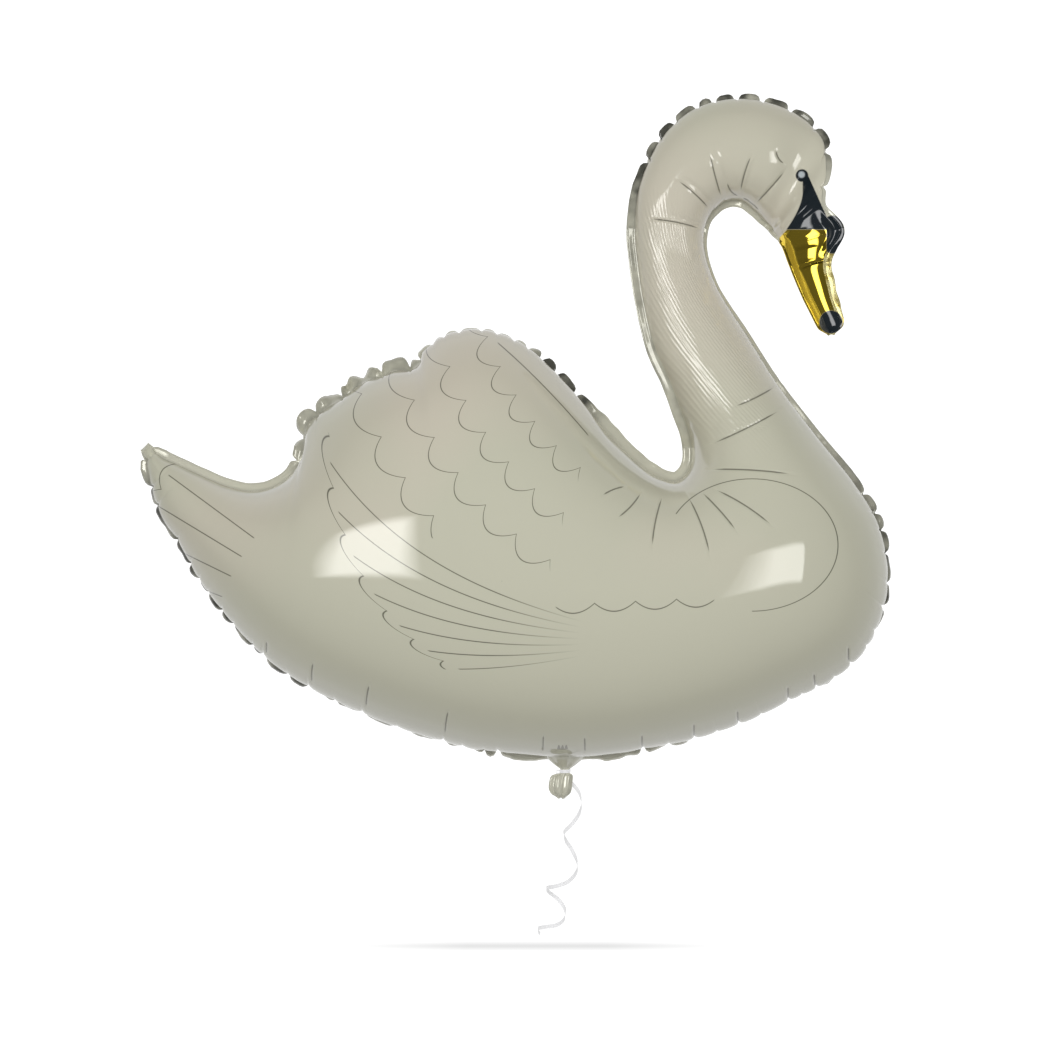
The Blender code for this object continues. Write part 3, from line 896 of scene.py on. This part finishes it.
# Print and finish of the film: glossy warm grey ink over the metal, with feathers outlined in thin olive lines; bare
# gold for the bill; black for its tip, its knob and the mask. The back film carries the same print. Places are those
# of the printed picture, a millimetre to the unit, counted from its upper left corner.
FILM_GREIGE = (0.550, 0.543, 0.432)
FILM_WARM = (0.600, 0.560, 0.460)
# The border's own light colour, and the dark colour painted over it as shade.
WELD_LIGHT = (0.62, 0.61, 0.50)
WELD_PAINTED_SHADE = (0.085, 0.085, 0.07)
# Olive of the printed lines, also painted along the creases as shade.
OLIVE_PRINT_AND_CREASE_SHADE = (0.045, 0.043, 0.025)
FOIL_GOLD = (0.90, 0.66, 0.07)
SEAM_GOLD = (0.86, 0.78, 0.38)
FOIL_BLACK = (0.010, 0.015, 0.019)
EYE_LIGHT = (0.42, 0.46, 0.48)
material, tree, shader, where = new_finish("printed_foil", 0.05)
shader.inputs["Specular IOR Level"].default_value = 1.0


def attribute(name, output):
    """One of the values laid on the film, read by its name."""
    found = tree.nodes.new("ShaderNodeAttribute")
    found.attribute_name = name
    return Value(tree, found.outputs[output])


film_along, _, weld = (Value(tree, socket) for socket in
                                 where.node("ShaderNodeSeparateXYZ", {0: attribute("film", "Vector")}).outputs)
picture = attribute("picture", "Vector")
px, py, _ = (Value(tree, socket) for socket in where.node("ShaderNodeSeparateXYZ", {0: picture}).outputs)
weld_painted_shade = attribute("painted_shade", "Fac")


def polar(x, y, squash=1.0):
    """Distance and angle in degrees, from 0 at the left and growing downwards, about a spot of the picture."""
    side, down = px - x, (py - y) * squash
    return side.far(down), down.math("ARCTAN2", -side) * (180 / math.pi)


def line(distance, width=0.95):
    return distance.size().under(width / 2, 0.7)


# Scale feathers: rows of scallops about a hub beyond the shoulder, every other row shifted by half a scallop. They
# end at the wing, and one scallop's cut end beside it is left off.
SCALE_HUB = (770, 235)
SCALE_ROW = 46.0
SCALE_WIDTH = 6.2
SCALE_RISE = 17.0
SCALE_REACH = (290.0, 495.0)
CUT_END = (457.0, 553.0)
radius, bearing = polar(*SCALE_HUB)
bearing = bearing + (radius - 400.0) * 0.012
scales = 0.0
for row in (0, 1):
    chain = (bearing / SCALE_WIDTH + row / 2).hump() * SCALE_RISE
    near_row = (radius - chain - 300.0 - row * SCALE_ROW).wrapped(2 * SCALE_ROW)
    scales = (line(near_row) * (radius - chain).between(*SCALE_REACH, 2.0)).either(scales)
scales = scales * bearing.over(13.0, 0.6) * (bearing - radius * 0.065).under(30.5, 0.6)

# Flight feathers: long lines that run together under the wing, with round tips that step down towards the breast.
FLIGHT_HUB = (655, 640)
FLIGHT_WIDTH = 4.4
FLIGHT_TIP = 14.0
DEGREE = math.pi / 180
reach, slope = polar(*FLIGHT_HUB)
slope = slope + reach * reach * 0.00011 - 4.0
past_longest = reach - (392.0 - (slope + 21.0) * 6.5)
flight = line(slope.wrapped(FLIGHT_WIDTH) * reach * DEGREE) * past_longest.under(0.0, 2.0) * reach.over(120.0, 90.0)
tips = line((past_longest - (slope / FLIGHT_WIDTH + 0.5).hump() * FLIGHT_TIP) * 0.6)
wing = slope.between(-19.9, 8.9, 0.2) * past_longest.under(16.0, 1.0)
lines = scales * slope.under(-22.0, 0.2) * (px - CUT_END[0]).far(py - CUT_END[1]).over(13.0, 2.0)
lines = lines.either(flight.either(tips) * wing)

# The shoulder's edge, the breast feathers' loop with its row of small scallops, and the tail's feathers.
SHOULDER_START = (498.0, 343.0)
SHOULDER_END = 588.0
LOOP_MIDDLE = (752, 545)
LOOP_RADIUS = 86.0
SMALL_ROW = (556.0, 714.0)
SMALL_MIDDLE = (660.0, 600.0)
SMALL_WIDTH = 41.0
TAIL_HUB = (452, 684)
TAIL_WIDTH = 5.2
past = px - SHOULDER_START[0]
shoulder = line((py - SHOULDER_START[1] - past * 0.86 - past * past * 0.0018) * 0.70)
lines = lines.either(shoulder * px.between(SHOULDER_START[0], SHOULDER_END, 2.0))
loop_reach, loop_turn = polar(*LOOP_MIDDLE, 1.30)
open_side = loop_turn.between(-28.0, 148.0, 1.0) * px.under(LOOP_MIDDLE[0], 1.0)
lines = lines.either(line(loop_reach - LOOP_RADIUS) * (1.0 - open_side))
sag = (px - SMALL_MIDDLE[0]) * 0.05 - (px / SMALL_WIDTH + 0.5).hump() * 9.0
lines = lines.either(line((py - SMALL_MIDDLE[1] + sag) * 0.9) * px.between(*SMALL_ROW, 2.0))
tail_reach, tail_turn = polar(*TAIL_HUB)
tail = line(tail_turn.wrapped(TAIL_WIDTH) * tail_reach * DEGREE) * tail_reach.between(246.0, 352.0, 2.0)
tail_tips = line(tail_reach - 350.0 - (tail_turn / TAIL_WIDTH + 0.5).hump() * 10.0)
lines = lines.either(tail.either(tail_tips) * tail_turn.between(-38.9, -18.3, 0.2))

# The mark beside the filling neck's valve: three small teeth.
MARK_SIDES = (557.0, 568.1)
MARK_FOOT = 749.0
MARK_TOOTH = 3.7
teeth = (py - MARK_FOOT + ((px - MARK_SIDES[0]) / MARK_TOOTH).hump() * 4.0).over(0.0, 0.8)
mark = py.under(MARK_FOOT + 0.3, 0.8) * teeth * px.between(*MARK_SIDES, 0.6)
lines = (lines * py.under(735.0, 2.0)).either(mark * 0.8)

# Creases where the film is bent too sharply to stay smooth: start and end in the picture, and how far each bows. Each
# is pressed in as a shallow groove and painted dark along its length as shade.
CREASES = [
    (709, 149, 723, 202, 1), (674, 178, 712, 212, -2), (644, 219, 706, 231, -3), (753, 152, 740, 196, 2),
    (788, 167, 752, 207, -1), (727, 180, 741, 197, 4), (739, 196, 761, 213, -2), (776, 148, 786, 165, 3),
    (704, 447, 787, 406, 2), (730, 408, 779, 384, 2), (700, 470, 802, 476, -3), (643, 489, 614, 520, -3),
    (665, 490, 652, 553, 3), (684, 490, 711, 562, -4), (697, 488, 740, 536, -2), (707, 486, 778, 531, -4),
    (628, 486, 600, 497, 2), (266.5, 640, 266.5, 655, 0), (313.6, 660, 312, 685, 1), (370, 682, 366, 710, 1),
    (449, 708, 445, 737, 1), (543.4, 733, 542.8, 754, 0), (584.6, 735, 585, 754, 0), (642, 733, 642, 750, 0),
    (694, 722, 694, 739, 0), (737.5, 709, 738, 726, 0), (788, 685, 788, 701, 0), (814, 672, 815, 688, 0),
    (848.5, 645, 848.5, 663, 0), (799, 268, 827, 260, -1),
]
CREASE_REACH = 2.4
crease_groove_and_shade = 0.0
for x0, y0, x1, y1, bow in CREASES:
    size = math.hypot(x1 - x0, y1 - y0)
    ahead_x, ahead_y = (x1 - x0) / size, (y1 - y0) / size
    way = (ahead_x / size, ahead_y / size, -(x0 * ahead_x + y0 * ahead_y) / size)
    aside = (-ahead_y, ahead_x, x0 * ahead_y - y0 * ahead_x)
    share, off = (Value(tree, picture.node("ShaderNodeVectorMath", {0: picture, 1: axis},
                                           operation="DOT_PRODUCT").outputs["Value"]) for axis in (way, aside))
    swell = share * (1.0 - share)
    near = (off - swell * (4.0 * bow)).size().math("MULTIPLY_ADD", -1.0 / CREASE_REACH, 1.0, clamp=True)
    crease_groove_and_shade = (near * swell.math("MULTIPLY", 5.5, clamp=True)).either(crease_groove_and_shade)

# The bill's gold, the mask from the eye to the bill, the knob and the tip.
BILL_TOP = 229.5
BILL_END = 345.0
BILL_THROAT = 779.5
MASK_EYE = (802.0, 175.5)
EYE = (801.6, 174.6)
KNOB = (832.5, 234.5)
KNOB_LEFT = 826.5
TIP = (831.0, 322.0)
left_edge = 802.7 - ((py - 193.0).math("MAXIMUM", 0.0) / 36.0).math("POWER", 1.6) * 16.0
right_edge = (py - 175.0) * 0.45 + 808.0
mask = (px - left_edge).over(0.0, 1.0) * (px - right_edge).under(0.0, 1.0) * py.between(176.0, BILL_TOP, 1.0)
mask = mask.either((px - MASK_EYE[0]).far(py - MASK_EYE[1]).under(6.3, 1.0))
beside_gold = px.over(KNOB_LEFT, 1.0).either(py.under(BILL_TOP, 1.0))
black_knob = (px - KNOB[0]).far((py - KNOB[1]) * 0.64).under(12.3, 1.0) * beside_gold
tip = (px - TIP[0]).far(py - TIP[1]).under(11.6, 1.0)
black = mask.either(black_knob).either(tip)
gold = px.over(BILL_THROAT, 1.0) * (px + py * 0.94).over(1003.0, 1.4) * py.between(BILL_TOP, BILL_END, 1.0)
gold = gold * (1.0 - black)
ink = 1.0 - gold.either(black)
patches = grain(where, 5.0, 1.0).over(0.52, 0.25)
colour = paint(FILM_GREIGE, FILM_WARM, patches * py.under(560.0, 90.0))
border = weld.over(0.5, 0.6)
# Painted shade on the welded border: darkened by the amount laid on it along each edge, mottled by noise.
border_colour = paint(WELD_LIGHT, WELD_PAINTED_SHADE, weld_painted_shade * grain(where, 70.0, 1.0).over(0.42, 0.6) * 1.3)
colour = paint(colour, border_colour, border)
colour = paint(colour, OLIVE_PRINT_AND_CREASE_SHADE, lines * ink * 0.85 * weld.under(0.3, 0.1))
# Painted shade: the creases are darkened along their length, beside the groove that the bump presses in.
colour = paint(colour, OLIVE_PRINT_AND_CREASE_SHADE, crease_groove_and_shade.over(0.70, 0.3) * ink * 0.7)
seam = gold * weld.over(0.75, 0.4) * (px - py * 0.123).over(785.0, 2.0) * grain(where, 130.0, 1.0).over(0.36, 0.3)
colour = paint(colour, paint(FOIL_GOLD, SEAM_GOLD, seam), gold)
colour = paint(colour, FOIL_BLACK, black)
colour = paint(colour, EYE_LIGHT, (px - EYE[0]).far(py - EYE[1]).under(3.2, 1.6))
tree.links.new(colour.socket, shader.inputs["Base Color"])
tree.links.new((gold * 0.96 - seam * 0.5 + ink * 0.03 + ink * border * 0.15).socket, shader.inputs["Metallic"])
tree.links.new((seam * 0.25 + 0.05).socket, shader.inputs["Roughness"])

# Fine cross ripples of the stretched film, along the neck and on the tail, and the creases pressed in.
NECK_BOX = ((630.0, 770.0), (205.0, 440.0))
TAIL_SIDE = 250.0
RIPPLES = 420.0
RIPPLE_HEIGHT = 0.16 * MM
CREASE_DEPTH = 0.6 * MM
bend = px.between(*NECK_BOX[0], 20.0) * py.between(*NECK_BOX[1], 50.0)
bend = bend.either(px.under(TAIL_SIDE, 60.0) * 0.5) * ink * weld.under(0.1, 0.1)
wobble = grain(where, 45.0, 2.0)
ripple = (film_along * RIPPLES + wobble * 2.0).math("SINE") * bend * grain(where, 28.0, 1.0).over(0.45, 0.6)
pressed = ripple * RIPPLE_HEIGHT - crease_groove_and_shade * CREASE_DEPTH
shaped = pressed.node("ShaderNodeBump", {"Height": pressed, "Distance": 1.0, "Strength": 1.0})
tree.links.new(shaped.outputs[0], shader.inputs["Normal"])
envelope.data.materials.append(material)
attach(envelope, "root")
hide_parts("foil_envelope")

# Tie: the upper end of the same white ribbon, gathered narrow, wound round the neck three times and knotted behind,
# with a small loop of it left standing at the side.
BAND_RADIUS = 5.15 * MM
STRAND = 0.78 * MM
STRAND_SIDES = 12
TURNS = 3
PITCH = 1.15 * MM
LOOP_AT = (-BAND_RADIUS - 1.6 * MM, 0)
KNOT_STEPS = 90
KNOT_SCALE = 0.62 * MM
KNOT_STRAND = 0.85 * MM
KNOT_CORE = 1.9 * MM
strand_turn = 2 * np.pi * np.arange(STRAND_SIDES) / STRAND_SIDES
turn = np.linspace(0, 2 * np.pi * TURNS, 60 * TURNS + 1) + np.pi / 2
rise = (turn - turn.mean()) / (2 * np.pi) * PITCH
wound = np.stack([BAND_RADIUS * np.cos(turn), BAND_RADIUS * np.sin(turn), rise], axis=1)


def strand_piece(name, route, wide, thick, out_from=(0, 0)):
    """A gathered strand of ribbon along a route: an oval cross section whose wide side stands upright."""
    ahead = unit(np.gradient(route, axis=0))
    side = route - np.array([*out_from, 0]) * (1, 1, 0)
    side[:, 2] = 0
    side = unit(side - (side * ahead).sum(1, keepdims=True) * ahead)
    tall = np.cross(ahead, side)
    points = (route[:, None, :] + thick * np.cos(strand_turn)[None, :, None] * side[:, None, :]
              + wide * np.sin(strand_turn)[None, :, None] * tall[:, None, :])
    return mesh_piece(name, points.reshape(-1, 3), tube_faces(len(route), STRAND_SIDES))


tie = strand_piece("ribbon_tie_band", wound, STRAND * 0.72, STRAND * 0.8)
turn = np.linspace(0.15, 2 * np.pi - 0.15, 60)
loop_route = np.stack([LOOP_AT[0] - 2.2 * MM * np.cos(turn), -0.8 * MM + 0.9 * MM * np.sin(turn / 2),
                       -0.9 * MM + 1.7 * MM * np.sin(turn)], axis=1)
side_loop = strand_piece("side_loop", loop_route, STRAND * 0.9, STRAND * 0.5, LOOP_AT)
turn = np.linspace(0, 2 * np.pi, KNOT_STEPS + 1)[:-1]
knot_route = np.stack([np.sin(turn) + 2 * np.sin(2 * turn), 0.55 * (-np.sin(3 * turn)) + 0.2,
                       np.cos(turn) - 2 * np.cos(2 * turn)], axis=1) * KNOT_SCALE
knot_route = knot_route + np.array(KNOT_AT)
ahead = unit(np.roll(knot_route, -1, axis=0) - np.roll(knot_route, 1, axis=0))
side = unit(np.cross(ahead, (0.0, 1.0, 0.0)))
tall = np.cross(side, ahead)
points = (knot_route[:, None, :] + KNOT_STRAND * (np.cos(strand_turn)[None, :, None] * side[:, None, :]
                                                  + np.sin(strand_turn)[None, :, None] * tall[:, None, :]))
ring_starts = [(step * STRAND_SIDES, (step + 1) % KNOT_STEPS * STRAND_SIDES) for step in range(KNOT_STEPS)]
faces = [(here + k, here + (k + 1) % STRAND_SIDES, ahead_of + (k + 1) % STRAND_SIDES, ahead_of + k)
         for here, ahead_of in ring_starts for k in range(STRAND_SIDES)]
knot = mesh_piece("knot", points.reshape(-1, 3), faces)
bpy.ops.object.select_all(action="DESELECT")
bpy.ops.mesh.primitive_uv_sphere_add(segments=24, ring_count=14, radius=KNOT_CORE, location=KNOT_AT)
core = bpy.context.object
bpy.ops.object.transform_apply(location=True)
for piece in (tie, side_loop, knot, core):
    face_outwards(piece)
for piece in (side_loop, core, knot):
    join(tie, piece)
tie.name = "ribbon_tie_wound"
tie.data.shade_smooth()
tie.data.materials.clear()
tie.data.materials.append(ribbon_finish)
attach(tie, "root")
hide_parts("ribbon_tie")

# Studio: a plain white backdrop under soft light. Of the floor there is only a strip under the swan that takes no light
# and glows grey, fading out at its ends and sides: a painted shadow line.
FLOOR_LINE = 946
FLOOR_SIZE = (0.56, 0.12)
FLOOR_SHADOW_GREY = 0.7
FLOOR_SHADOW_SHOWN = 0.8
bpy.ops.object.select_all(action="DESELECT")
bpy.ops.mesh.primitive_plane_add(size=1, location=(0, 0, from_photo(0, FLOOR_LINE)[1]))
floor = bpy.context.object
floor.scale = (*FLOOR_SIZE, 1)
bpy.ops.object.transform_apply(location=False, rotation=False, scale=True)
floor.name = "floor"
# Painted shadow: a black strip that glows grey, faded towards its ends and sides.
material, tree, shader, where = new_finish("floor_painted_shadow", 1.0)
shader.inputs["Base Color"].default_value = (0.0, 0.0, 0.0, 1.0)
shader.inputs["Specular IOR Level"].default_value = 0.0
shader.inputs["Emission Color"].default_value = (FLOOR_SHADOW_GREY, FLOOR_SHADOW_GREY, FLOOR_SHADOW_GREY, 1.0)
shader.inputs["Emission Strength"].default_value = 1.0
along, depth, _ = (Value(tree, socket) for socket in where.node("ShaderNodeSeparateXYZ", {0: where}).outputs)
shadow_fade = (along + 0.0275).size().under(0.17, 0.20) * depth.size().under(0.03, 0.05)
tree.links.new((shadow_fade * FLOOR_SHADOW_SHOWN).socket, shader.inputs["Alpha"])
floor.data.materials.append(material)
floor.visible_glossy = False

world = bpy.data.worlds.new("studio")
world.use_nodes = True
bpy.context.scene.world = world
tree = world.node_tree
background = tree.nodes["Background"]
background.inputs["Strength"].default_value = 1.0
direction = Value(tree, tree.nodes.new("ShaderNodeTexCoord").outputs["Generated"])
_, toward_y, toward_z = (Value(tree, socket)
                         for socket in direction.node("ShaderNodeSeparateXYZ", {0: direction}).outputs)
seen = Value(tree, tree.nodes.new("ShaderNodeLightPath").outputs["Is Camera Ray"])
room = toward_y.over(0.18, 0.7) * 0.87 + 0.09 + toward_z.over(0.3, 0.8) * -0.08
shown = room * (1.0 - seen) + seen * 1.2
tree.links.new(shown.socket, background.inputs["Color"])

SWAN_MIDDLE = Vector((0.0, 0.0, 0.25))
FILL_SIZE = 2.4
FILL_BRIGHTNESS = 5.4


def softbox(name, location, target, width, tall, brightness):
    """A rectangular softbox that faces its target and looks this bright."""
    light_data = bpy.data.lights.new(name, "AREA")
    light_data.shape = "RECTANGLE"
    light_data.size = width
    light_data.size_y = tall
    light_data.energy = brightness * math.pi * width * tall
    light = bpy.data.objects.new(name, light_data)
    light.location = location
    light.rotation_euler = (Vector(target) - Vector(location)).to_track_quat("-Z", "Y").to_euler()
    bpy.context.scene.collection.objects.link(light)
    return light


def panels(name, turn, rise, reach, width, tall, brightness, levels, keep_edge=0):
    """A softbox seen from the swan at this turn to the right and rise over the horizon, in degrees. It is made of
    sheets of falling size, so that it grows brighter inwards, from both edges or away from one edge only."""
    turn, rise = math.radians(turn), math.radians(rise)
    way = Vector((math.sin(turn) * math.cos(rise), -math.cos(turn) * math.cos(rise), math.sin(rise)))
    right = Vector((math.cos(turn), math.sin(turn), 0))
    for level in range(levels):
        size = 1 - 0.45 * level / levels
        slide = right * keep_edge * (1 - size) * width / 2
        centre = SWAN_MIDDLE + way * (reach - 0.02 * level) + slide
        softbox(f"{name}_{level}", centre, SWAN_MIDDLE + slide, width * size, tall * (1 - 0.3 * level / levels),
                brightness / levels)


panels("left_softbox", turn=-28, rise=2, reach=3.0, width=1.32, tall=1.06, brightness=4.0, levels=6)
panels("right_softbox", turn=31.5, rise=3.5, reach=3.0, width=1.05, tall=0.95, brightness=3.3, levels=5, keep_edge=1)
fill = softbox("fill_softbox", (0.0, -3.3, 0.9), SWAN_MIDDLE, FILL_SIZE, FILL_SIZE, FILL_BRIGHTNESS)
fill.visible_glossy = False
fill.visible_camera = False
bpy.context.scene.view_settings.view_transform = "Standard"
